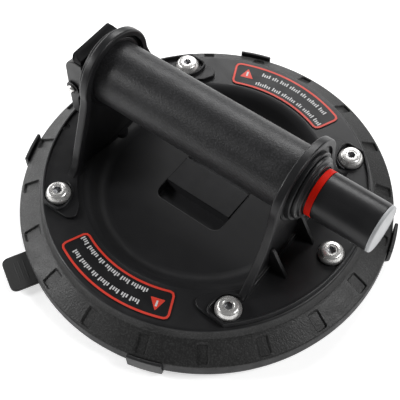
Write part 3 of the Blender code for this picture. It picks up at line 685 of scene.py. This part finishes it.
def rubber_pad():
    outside = rounded([
        (0, 4.3, 0), (89.0, 4.3, 1.0), (93.0, 3.2, 1.0), (96.0, 2.6, 1.0), (103.0, 2.6, 0.8),
        (103.0, 4.9, 0.7), (98.0, 4.9, 0), (98.0, 7.2, 0), (0, 7.2, 0),
    ])
    pad = turned("pad_rubber_disc", outside, steps=DISC_STEPS)
    half = TAB_WIDTH / 2
    tab = rounded([(97.0, -half, 0), (TAB_REACH_R, -half, 4.5), (TAB_REACH_R, half, 4.5), (97.0, half, 0)], 8)
    join(pad, slab("tab", turn_outline(tab, TAB_ANGLE), 3.0, 4.8, edge=0.5))
    grip_lines = []
    for reach in TAB_LINES_R:
        line = rounded_box((reach, reach + 0.9), (-half + 4.5, half - 4.5), 0.4, 3)
        grip_lines.append(slab("line", turn_outline(line, TAB_ANGLE), 4.2, 4.89, edge=0.25))
    join(pad, *grip_lines)
    cut(pad, rod("seat", 5.3, (0, 6.0), upright(AIRWAY_X, 0)))
    cut(pad, rod("airway", 1.5, (0, 20), upright(AIRWAY_X, 0)))
    finish(pad, "pad", "base", ["rubber_pad"])


def cover():
    outside = rounded([
        (0, 0, 0), (103.5, 0, 0.7), (103.5, 2.2, 0.4), (100.0, 2.2, 0.3), (99.0, 1.6, 0.3), (0, 1.6, 0),
    ])
    tray = turned("cover_tray", outside, steps=DISC_STEPS)
    inner, outer = CLIP_R
    clip = rounded([
        (101.0, 0.3, 0), (103.8, 0.3, 1.0), (outer, 4.0, 1.2), (outer, CLIP_TOP_Z, 0.9),
        (inner, CLIP_TOP_Z, 0.6), (inner, 5.0, 1.0), (103.4, 1.9, 0.6), (101.0, 1.9, 0),
    ])
    for angle in CLIP_ANGLES:
        join(tray, swept("clip", clip, angle - CLIP_HALF_ANGLE, angle + CLIP_HALF_ANGLE, 0.25))
    finish(tray, "cover", "cover", ["protective_cover"])


# ---------------------------------------------------------------------------------------------
# Bolts
# ---------------------------------------------------------------------------------------------

def bolts():
    low, high = BOLT_HEAD_Z
    profile = rounded([
        (0, 10.2, 0), (BOLT_SHANK_R - 0.6, 10.2, 0), (BOLT_SHANK_R, 10.9, 0), (BOLT_SHANK_R, low, 0),
        (BOLT_HEAD_R - 0.1, low, 0.3), (BOLT_HEAD_R, low + 1.3, 0.7), (5.2, high - 0.2, 0.8),
        (3.2, high, 0.2), (2.9, high - 0.3, 0.1), (0, high - 0.3, 0),
    ])
    for number, ((x, y), turn) in enumerate(zip(bolt_places(), (12, 40, 75, 20, 33, 56)), 1):
        bolt = turned(f"bolt_{number}", profile, upright(x, y), 72)
        key = [polar(2.35, turn + 60 * k, (x, y)) for k in range(6)]
        cut(bolt, slab("key", key, high - 3.0, high + 1.0, edge=0.2, ends=(True, False)))

        def paint(centre, spot=(x, y)):
            # the hex socket's inside takes the darker plated steel: painted shade in the recess
            socket_shade = math.hypot(centre.x - spot[0], centre.y - spot[1]) < 2.5 and centre.z < high - 0.4
            return 1 if socket_shade else 0

        finish(bolt, ("stainless", "steel"), "base", [f"housing_bolt_{number}"], paint)


# ---------------------------------------------------------------------------------------------
# Brackets
# ---------------------------------------------------------------------------------------------

def bezier(ends, handles, steps):
    """Points of a cubic curve, without its first point."""
    a, d = (Vector(p) for p in ends)
    b, c = (Vector(p) for p in handles)
    points = []
    for i in range(1, steps + 1):
        t = i / steps
        s = 1 - t
        points.append(tuple(a * s ** 3 + b * 3 * t * s ** 2 + c * 3 * t * t * s + d * t ** 3))
    return points


def arch_outline(side, bottom_z):
    """Bell outline in Y and Z: an egg-shaped head on flaring sides."""
    head = []
    wide, tall = ARCH_HEADS[side]
    for i in range(49):
        turn = 180.0 * i / 48
        reach = tall + (wide - tall) * math.cos(math.radians(turn)) ** 2
        head.append(polar(reach, turn, (0, AXIS_Z)))
    ends, handles, flare = FRONT_SIDE if side > 0 else REAR_SIDE
    left = bezier(ends, handles, 24) + flare
    if bottom_z < FOOT_Z[1]:
        left.append((left[-1][0], bottom_z))
    right = [(-y, z) for y, z in reversed(left)]
    return head + left + right


def mirrored(points, side):
    return [(side * x, y) for x, y in points][::side]


def both_ends(tip):
    """A path round the crescent's outer edge that ends in this tip at both sides."""
    corner = math.degrees(math.asin(FOOT_Y / FOOT_R))
    return [(x, -y) for x, y in reversed(tip)] + arc((0, 0), FOOT_R, -corner, corner, 60) + tip


def foot_outline(side):
    """Crescent foot in X and Y, from the arch's inner plane to the edge of the land."""
    plane = abs(FRONT_X[0] if side > 0 else REAR_X[0])
    meet = math.degrees(math.acos(plane / FOOT_INNER_R))
    ear = math.degrees(math.acos(43.5 / FOOT_INNER_R))
    drops = ((47.0, 0.0), (44.4, 0.2), (42.4, 1.2), (41.0, 2.8), (40.6, 4.6))
    tip = [(x, FOOT_Y - drop) for x, drop in drops]
    tip += arc((0, 0), FOOT_INNER_R, ear, meet, 10)
    return mirrored(both_ends(tip), side)


def lip_outline(side):
    """Wall along the crescent's outer edge that turns in round its two outer bolts."""
    ends = ((52.0, FOOT_Y), (58.2, 48.0))
    tip = [(54.0, FOOT_Y), (52.0, FOOT_Y)] + bezier(ends, ((44.8, 66.2), (48.4, 47.6)), 16)
    return mirrored(strip(both_ends(tip), LIP_THICK), side)


def bracket(name, planes, side, rib_places):
    """Rimmed arch on a crescent foot with a lip, ribs on its outer face and counterbored bolt holes."""
    inner_x, outer_x = planes
    inner_depth, outer_depth = RECESS_DEPTHS[side]
    body = slab(name, arch_outline(side, FOOT_Z[0] + 0.5), *sorted(planes), "X", ARCH_EDGE[side])
    join(body, slab("foot", foot_outline(side), *FOOT_Z, edge=0.45))
    rim_line = inset(arch_outline(side, FOOT_Z[1]), ARCH_RIM)
    high_part = [point for point in rim_line if point[1] > RECESS_BOTTOM_Z]
    reach = min(40.0, -min(y for y, z in high_part))
    start = next(i for i, point in enumerate(rim_line) if point[1] <= RECESS_BOTTOM_Z)
    low = RECESS_BOTTOM_Z - 2.0
    slot = [(-reach, low), (-reach, 18.0), (reach, 18.0), (reach, low)]
    through_foot = high_part[:start] + slot + high_part[start:]
    cut(body, cutter(through_foot, inner_x + side * inner_depth, inner_x, 1.0, "X", 0.45))
    cut(body, cutter(high_part, outer_x - side * outer_depth, outer_x, 1.0, "X", 0.28))
    join(body, slab("lip", lip_outline(side), FOOT_Z[1] - 0.6, LIP_TOP_Z, edge=0.4, ends=(False, True)))
    web_x = outer_x - side * 2.0
    rib_x = outer_x + side * RIB_REACH
    low = FOOT_Z[1] - 0.5
    for y in rib_places:
        outline = rounded([
            (web_x, low, 0), (rib_x, low, 0), (rib_x, low + 0.9, 0.5),
            (outer_x + side * 0.4, RIB_TOP_Z, 1.2), (web_x, RIB_TOP_Z, 0),
        ])
        join(body, slab("rib", outline, y - 1.0, y + 1.0, "Y", 0.35))
    places = [(x, y) for x, y in bolt_places() if x * side > 0]
    cut(body, gather([rod("seat", 7.6, (FOOT_Z[1] - 0.45, 34.0), upright(x, y)) for x, y in places]))
    cut(body, gather([rod("hole", BOLT_SHANK_R + 0.4, (20, 30), upright(x, y)) for x, y in places]))
    return body


def front_bracket():
    body = bracket("bracket_front", FRONT_X, 1, RIB_Y)
    seat = rounded([(0, 56.52, 0), (20.6, 56.52, 0.3), (20.6, 60.2, 0.4), (0, 60.2, 0)])
    collar = rounded([(0, 59.0, 0), (18.6, 59.0, 0), (18.6, 62.9, 0.5), (0, 62.9, 0)])
    join(body, turned("seat", seat, along_x(), 128), turned("collar", collar, along_x(), 128))
    cut(body, rod("tube_seat", GRIP_R[1] + 0.3, (40.0, 57.5), along_x(), 128))
    cut(body, rod("bore", 15.6, (50.0, 80.0), along_x(), 128))
    finish(body, "bracket", "base", ["front_bracket"])


def rear_bracket():
    body = bracket("bracket_rear", REAR_X, -1, (RIB_Y[0], RIB_Y[2]))
    seat = rounded([(0, -61.5, 0), (19.8, -61.5, 0), (19.8, -59.3, 0.8), (0, -59.3, 0)])
    boss = rounded([(0, -65.2, 0), (22.0, -65.2, 0.9), (22.0, -61.0, 0), (0, -61.0, 0)], 6)
    join(body, turned("seat", seat, along_x(), 128), turned("boss", boss, along_x(), 128))
    post = rounded([
        (-60.4, 25.4, 0), (-73.2, 25.4, 0), (-73.2, 35.0, 1.2), (POST_X, 38.5, 1.5), (POST_X, 52.0, 2.5),
        (-68.0, 60.0, 2.5), (-60.4, 66.0, 0),
    ])
    join(body, slab("post", post, -7.0, 7.0, "Y", 0.8))
    for side in (-1, 1):
        low, high = sorted((side * EAR_Y[0], side * EAR_Y[1]))
        ear = [(-61.2, 55.0)] + arc(PIVOT, 4.5, 270, 90, 20) + [(-61.2, 72.0)]
        join(body, slab("ear", ear, low, high, "Y", 0.5))
    cut(body, rod("tube_seat", GRIP_R[1] + 0.3, (-60.5, -40.0), along_x(), 128))
    cut(body, rod("pin_hole", 2.2, (-20.0, 20.0), along_y(*PIVOT)))
    inlet_z = AXIS_Z - PORT_RISE
    cut(body, rod("airway", 1.5, (20.0, inlet_z + 1.5), upright(AIRWAY_X, 0), 32))
    cut(body, rod("inlet", 1.5, (AIRWAY_X, -50.0), along_x(inlet_z), 32))
    cut(body, rod("exhaust", 1.5, (-80.0, -50.0), along_x(AXIS_Z + PORT_RISE), 32))
    cut(body, rod("chamber", 4.8, (-90.0, -65.0), along_x(VALVE_Z)))
    cut(body, rod("vent", 1.2, (-70.0, AIRWAY_X), along_x(VALVE_Z), 32))
    hollow = rounded_box((-87.0, -83.0), (-22.5, -18.5), 1.4)
    cut(body, cutter(hollow, FOOT_Z[1] - 1.0, FOOT_Z[1], 1.0, edge=0.3))
    finish(body, "bracket", "base", ["rear_bracket"])


# ---------------------------------------------------------------------------------------------
# Handle and pump
# ---------------------------------------------------------------------------------------------

def handle_and_pump():
    """Turned pieces round the handle's axis, as (radius, station along X, rounding) outlines."""
    low, high = GRIP_X
    tube = rounded([
        (GRIP_R[0], low, 0), (GRIP_R[1], low, 0.4), (GRIP_R[1], high, 0.4), (GRIP_R[0], high, 0),
    ])
    finish(turned("grip", tube, along_x(), 144), "grip", "base", ["grip_tube"])
    guide = rounded([
        (15.3, 60.8, 0), (15.3, 63.2, 0), (16.9, 63.2, 0.3), (16.9, 64.8, 0.5), (15.6, 65.1, 0.3),
        (14.9, 65.3, 0.2), (14.9, 66.6, 0.5), (12.9, 66.6, 0.3), (12.9, 60.8, 0),
    ])
    finish(turned("guide", guide, along_x(), 128), "bracket", "base", ["plunger_guide"])
    outer, bore, groove = PLUNGER_R, 10.5, 11.9
    tube = rounded([
        (outer, 24.3, 0.3), (outer, 67.0, 0.2), (groove, 67.0, 0), (groove, 71.0, 0), (outer, 71.0, 0.2),
        (outer, 100.7, 0.1), (bore, 100.7, 0), (bore, 24.3, 0),
    ])
    finish(turned("plunger", tube, along_x(), 128), "plunger", "plunger", ["plunger_tube"])
    band = rounded([(12.2, 67.3, 0), (12.55, 67.3, 0.12), (12.55, 70.7, 0.12), (12.2, 70.7, 0)])
    finish(turned("stroke_ring", band, along_x(), 128), "ring", "plunger", ["indicator_ring"])
    cap = rounded([
        (0, 97.0, 0), (10.2, 97.0, 0), (10.2, 101.0, 0), (12.5, 101.0, 0.1), (12.5, 102.4, 0.6),
        (11.5, 102.8, 0.3), (11.0, 102.55, 0.3), (0, 102.5, 0),
    ])
    finish(turned("end_cap", cap, along_x(), 128), "end_disc", "plunger", ["plunger_end_cap"])


# ---------------------------------------------------------------------------------------------
# Release lever and valve
# ---------------------------------------------------------------------------------------------

def release_lever():
    low, high = CHEEK_Y
    shoulder = (-72.4, 76.4)
    neck = rounded([
        (-68.2, 84.4, 0), (-68.2, 66.0, 2.0), (-72.6, 59.0, 2.0), (-75.0, 55.0, 2.0), (-75.6, 41.5, 0.7),
        (-81.4, 41.5, 0.7), (-81.2, 60.0, 3.0), (-80.4, 76.4, 0),
    ])
    cheek = neck + arc(shoulder, 8.0, 176, 92, 12)
    body = slab("lever", cheek, low, high, "Y", 0.7)
    join(body, slab("cheek", cheek, -high, -low, "Y", 0.7))
    back = arc(shoulder, 7.8, 90, 180, 12) + [(-80.4, 70.0), (-78.2, 70.0)]
    back += arc(shoulder, 5.6, 180, 90, 12) + [(-68.5, 82.0), (-68.5, 84.2)]
    join(body, slab("back", back, -high + 0.9, high - 0.9, "Y", 0.1))
    bar = rounded([(-80.0, 41.8, 0.4), (-78.0, 41.8, 0.4), (-78.0, 50.5, 0.4), (-80.0, 50.5, 0.4)])
    join(body, slab("bar", bar, -high + 0.9, high - 0.9, "Y", 0.1))
    cut(body, rod("pin_hole", 2.3, (-30.0, 30.0), along_y(*PIVOT)))
    cut(body, rod("stem_hole", 2.1, (-90.0, -70.0), along_x(VALVE_Z)))
    finish(body, "bracket", "lever", ["release_lever"])
    thumb_pad()


def thumb_pad():
    """Soft pad on the lever's top, dished towards the handle and narrowing upwards."""
    base_z, top_z = THUMB_Z
    section = rounded([
        (-68.2, base_z, 0.5), (-73.9, base_z, 0.6), (-74.1, base_z + 1.5, 0), (-74.2, base_z + 3.0, 0),
        (-74.4, top_z - 1.6, 1.0), (-73.6, top_z - 0.5, 0.8),
        (-72.0, top_z - 0.6, 0.9), (-70.4, top_z - 2.6, 2.0), (-68.2, top_z - 3.2, 0.5),
    ])
    pad = slab("thumb_pad", section, -10.0, 10.0, "Y", 0.7)
    base, top = THUMB_HALF_Y
    for vertex in pad.data.vertices:
        rise = min(1.0, max(0.0, (vertex.co.z / MM - base_z - 1.5) / (top_z - base_z - 2.0)))
        half = top + (base - top) * math.sqrt(1 - rise * rise)
        vertex.co.y += math.copysign(half - 10.0, vertex.co.y) * MM
    finish(pad, "thumb", "lever", ["lever_thumb_pad"], angle=50.0)


def pin_and_valve():
    pin = rounded([
        (0, -18.4, 0), (1.5, -18.4, 0.6), (2.5, -17.4, 0.5), (2.5, -16.6, 0.2), (2.0, -16.6, 0),
        (2.0, 17.4, 0.4), (0, 17.4, 0),
    ])
    pivot = along_y(*PIVOT)
    finish(turned("pivot_pin", pin, pivot, 48), "stainless", "base", ["lever_pin"])
    washer = rounded([(2.3, -16.4, 0.15), (4.1, -16.4, 0.3), (4.1, -15.5, 0.3), (2.3, -15.5, 0.15)])
    finish(turned("pivot_washer", washer, pivot, 64), "seal", "base", ["lever_washer"])
    clip = rounded([(2.3, 15.5, 0.1), (3.8, 15.5, 0.2), (3.8, 16.4, 0.2), (2.3, 16.4, 0.1)])
    finish(turned("pivot_clip", clip, pivot, 64), "steel", "base", ["lever_pin_clip"])
    stem = rounded([
        (0, -82.4, 0), (2.6, -82.4, 0.5), (3.2, -81.7, 0.5), (3.2, -80.3, 0.2), (1.4, -80.3, 0),
        (1.4, -67.8, 0), (3.3, -67.8, 0.2), (3.3, -67.0, 0.2), (0, -67.0, 0),
    ])
    finish(turned("stem", stem, along_x(VALVE_Z), 48), "steel", "valve", ["valve_stem"])
    gland = rounded([
        (1.7, -75.5, 0.3), (4.5, -75.5, 0.4), (4.5, -73.6, 0.3), (1.7, -73.6, 0.1),
    ])
    finish(turned("gland", gland, along_x(VALVE_Z), 64), "nylon", "base", ["valve_gland"])


# ---------------------------------------------------------------------------------------------
# Labels
# ---------------------------------------------------------------------------------------------

def ring_sector(radii, start, end, reach, steps=24):
    """Ring sector with eased corners, anticlockwise."""
    outline = []
    for radius, first, last in ((radii[1], start, end), (radii[0], end, start)):
        inward = -reach if radius == radii[1] else reach
        shift = math.copysign(math.degrees(reach / radius), last - first)
        outline += [polar(radius + inward, first), polar(radius + inward * 0.3, first + shift * 0.3)]
        outline += arc((0, 0), radius, first + shift, last - shift, steps)
        outline += [polar(radius + inward * 0.3, last - shift * 0.3), polar(radius + inward, last)]
    return outline


def word(radius, turn, length):
    """A word-like row of plain ticks of uneven height, running clockwise from turn."""
    low, high = LABEL_Z[1] - 0.2, LABEL_Z[1] - 0.05
    ticks = []
    for k in range(max(1, round(length / TICK_PITCH))):
        middle = turn - math.degrees((k + 0.5) * TICK_PITCH / radius)
        half = math.degrees(TICK_WIDTH / 2 / radius)
        tall = 1.9 + 0.7 * ((k * 5 + round(length)) % 3 == 0)
        foot, head = radius - 1.1, radius - 1.1 + tall
        outline = [polar(foot, middle + half), polar(foot, middle - half)]
        outline += [polar(head, middle - half), polar(head, middle + half)]
        ticks.append(slab("tick", outline, low, high, edge=0.03, ends=(False, True)))
    return ticks


def label(name, middle, node):
    """A generic notice: a red outline, a red triangle, and plain ticks where words would be."""
    low, high = LABEL_Z
    ends = (middle - LABEL_HALF_ANGLE, middle + LABEL_HALF_ANGLE)
    plate = slab(name, ring_sector(LABEL_R, *ends, 3.0), low, high - 0.12, edge=0.08)
    edge = ring_sector((LABEL_R[0] + 0.25, LABEL_R[1] - 0.25), ends[0] + 0.2, ends[1] - 0.2, 2.8)
    border = slab("border", edge, high - 0.2, high - 0.02, edge=0.03)
    cut(border, slab("hole", inset(edge, 1.2), high - 1.0, high + 1.0, edge=0.03))
    corners = [polar(76.8, middle + 21.8), polar(76.8, middle + 15.8), polar(83.7, middle + 19.2)]
    sign = rounded([(*point, 0.7) for point in corners])
    triangle = slab("triangle", sign, high - 0.2, high - 0.04, edge=0.03)
    stroke = ((78.0, 18.6), (81.3, 18.6), (81.3, 19.4), (78.0, 19.3))
    mark = [polar(radius, middle + turn) for radius, turn in stroke]
    ticks = []
    for radius, start, lengths in LABEL_ROWS:
        turn = middle + start
        for length in lengths:
            ticks += word(radius, turn, length)
            turn -= math.degrees((length + 1.1) / radius)
    pale = gather(ticks + [slab("mark", mark, high - 0.06, high - 0.01, edge=0.02)])
    shape = bmesh.new()
    for index, obj in enumerate((plate, gather([border, triangle]), pale)):
        before = len(shape.faces)
        shape.from_mesh(obj.data)
        shape.faces.ensure_lookup_table()
        for face in shape.faces[before:]:
            face.material_index = index
        if obj is not plate:
            bpy.data.objects.remove(obj, do_unlink=True)
    shape.to_mesh(plate.data)
    shape.free()
    for look in ("label", "print_red", "print_pale"):
        plate.data.materials.append(LOOKS[look])
    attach(plate, "base")
    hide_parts(node)


# ---------------------------------------------------------------------------------------------
# CAD nodes that stay
# ---------------------------------------------------------------------------------------------

def dress_cad_nodes():
    """Materials for the inner CAD nodes that no piece stands for."""
    looks = {
        "steel": ["backing_plate"] + [f"plate_standoff_{i}" for i in range(1, 7)],
        "foam": ["pad_filter"],
        "aluminium": ["pump_barrel"],
        "nylon": ["rear_plug", "piston"],
        "seal": ["plug_seal", "piston_seal", "inlet_check_valve", "exhaust_check_valve", "valve_seal"],
        "stainless": ["return_spring", "valve_spring"],
    }
    for look, names in looks.items():
        for name in names:
            for slot in frame["nodes"][name].material_slots:
                slot.material = LOOKS[look]


# ---------------------------------------------------------------------------------------------
# Floor, light and camera
# ---------------------------------------------------------------------------------------------

def stage():
    """Pale paper that glows a little, so that it stays white under soft light."""
    corners = ((-1, -1), (1, -1), (1, 1), (-1, 1))
    floor = solid("floor", [(x * FLOOR_HALF, y * FLOOR_HALF, FLOOR_Z) for x, y in corners], [[0, 1, 2, 3]])
    made = Nodes("floor_paper")
    tone = made.mix(made.spread(made.noise(60.0, 2.0), 0.0, 1.0), (0.86, 0.86, 0.86), (0.88, 0.88, 0.88))
    made.link(tone, made.shader.inputs["Base Color"])
    made.link(tone, made.shader.inputs["Emission Color"])
    made.shader.inputs["Emission Strength"].default_value = 0.7
    made.shader.inputs["Roughness"].default_value = 0.9
    made.shader.inputs["Specular IOR Level"].default_value = 0.1
    floor.data.materials.append(made.material)


def area_light(name, place, target, size, power):
    """Soft rectangular light; place and target in metres."""
    lamp = bpy.data.lights.new(name, "AREA")
    lamp.shape = "RECTANGLE"
    lamp.size, lamp.size_y = size
    lamp.energy = power
    obj = bpy.data.objects.new(name, lamp)
    bpy.context.scene.collection.objects.link(obj)
    obj.location = place
    aim = Vector(target) - Vector(place)
    obj.rotation_euler = aim.to_track_quat("-Z", "Y").to_euler()


def lighting():
    world = bpy.data.worlds.new("studio")
    world.use_nodes = True
    background = world.node_tree.nodes["Background"]
    background.inputs["Color"].default_value = (1.0, 1.0, 1.0, 1.0)
    path = world.node_tree.nodes.new("ShaderNodeLightPath")
    # dim as a light, pale where it is seen behind the floor's edge
    strength = world.node_tree.nodes.new("ShaderNodeMapRange")
    strength.inputs["To Min"].default_value = 0.1
    strength.inputs["To Max"].default_value = 0.9
    world.node_tree.links.new(path.outputs["Is Camera Ray"], strength.inputs["Value"])
    world.node_tree.links.new(strength.outputs["Result"], background.inputs["Strength"])
    bpy.context.scene.world = world
    area_light("back", (-0.45, 1.1, 0.90), (0, 0, 0.02), (0.9, 0.6), 12.0)
    area_light("right", (0.85, 0.40, 1.10), (0.02, 0, 0.03), (0.45, 0.45), 8.5)
    area_light("left", (-1.4, 0.1, 0.40), (0, 0, 0.03), (1.2, 0.6), 8.3)
    area_light("left_front", (-0.74, -0.52, 0.58), (-0.02, 0, 0.03), (0.27, 0.27), 4.2)


def camera():
    azimuth, elevation, roll = (math.radians(a) for a in (VIEW_AZIMUTH, VIEW_ELEVATION, VIEW_ROLL))
    flat = math.cos(elevation)
    back = Vector((math.sin(azimuth) * flat, -math.cos(azimuth) * flat, math.sin(elevation)))
    right = Vector((math.cos(azimuth), math.sin(azimuth), 0.0))
    up = back.cross(right)
    across = right * math.cos(roll) + up * math.sin(roll)
    upward = up * math.cos(roll) - right * math.sin(roll)
    lens = bpy.data.cameras.new("view")
    lens.sensor_width = 36.0
    lens.lens = VIEW_LENS
    lens.clip_start = 0.01
    obj = bpy.data.objects.new("view", lens)
    bpy.context.scene.collection.objects.link(obj)
    turn = Matrix((across, upward, back)).transposed().to_4x4()
    place = (Vector(VIEW_TARGET) + back * VIEW_DISTANCE) * MM
    obj.matrix_world = Matrix.Translation(place) @ turn
    bpy.context.scene.camera = obj


# ---------------------------------------------------------------------------------------------
# Run
# ---------------------------------------------------------------------------------------------

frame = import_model()
LOOKS = make_materials()
bpy.context.scene.view_settings.view_transform = "Standard"
camera()
housing()
rubber_pad()
cover()
bolts()
front_bracket()
rear_bracket()
handle_and_pump()
release_lever()
pin_and_valve()
label("notice_near", -90.0, "warning_label_near")
label("notice_far", 90.0, "warning_label_far")
dress_cad_nodes()
stage()
lighting()
